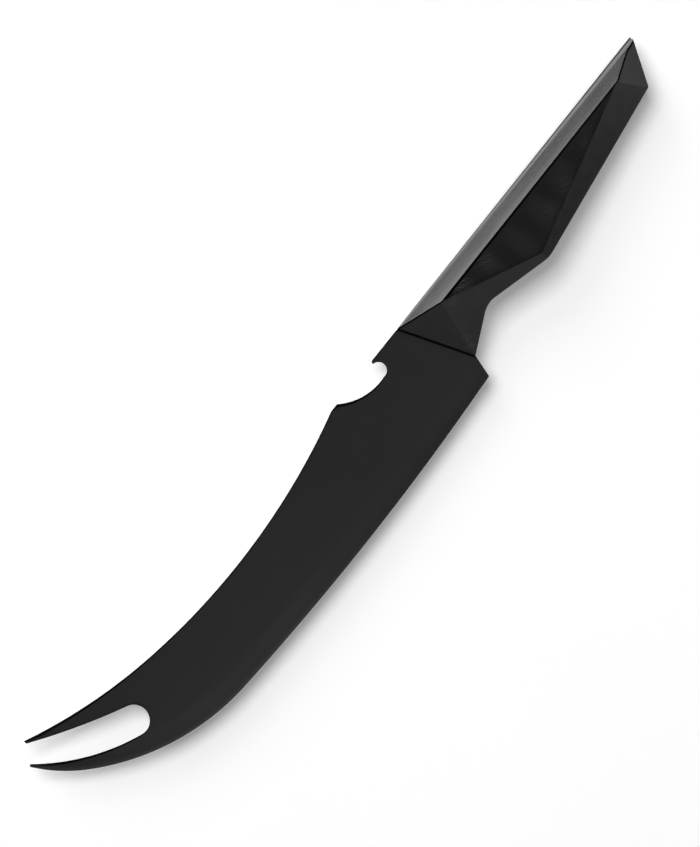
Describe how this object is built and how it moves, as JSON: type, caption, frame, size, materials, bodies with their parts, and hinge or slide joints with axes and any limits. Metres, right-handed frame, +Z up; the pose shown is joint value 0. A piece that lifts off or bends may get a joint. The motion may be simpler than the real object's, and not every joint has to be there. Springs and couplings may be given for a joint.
{
  "type": "barbecue knife",
  "caption": "Curved black-coated carving knife for the barbecue, with a forked tip, a bottle-opener notch in its spine and a faceted handle under a metal spine cap.",
  "frame": {"origin": "centre of the knife's box, on the plane that the knife lies on", "axes": "+X from the fork tip towards the butt, +Y from the cutting edge towards the spine, +Z up through the thickness, out of the knife's left side"},
  "size_m": [0.3551, 0.0538, 0.02],
  "materials": {
    "blade_coating": "matte black non-stick coating on steel, with a bare sharpened edge",
    "scale_plastic": "fine matte moulding",
    "grip_rubber": "rippled, soft",
    "cap_metal": "satin grey",
    "seal_rubber": "matte black",
    "dowel_steel": "ground",
    "rivet_brass": "plain"
  },
  "bodies": {
    "root": {"blade": "blade_coating", "scale_left": "scale_plastic", "scale_right": "scale_plastic", "grip_panel_left": "grip_rubber", "grip_panel_right": "grip_rubber", "spine_cap": "cap_metal", "cap_gasket": "seal_rubber", "cap_dowels": "dowel_steel", "rivet_sleeves": "rivet_brass", "rivet_pins": "rivet_brass", "front_seal_left": "seal_rubber", "front_seal_right": "seal_rubber"}
  },
  "joints": []
}
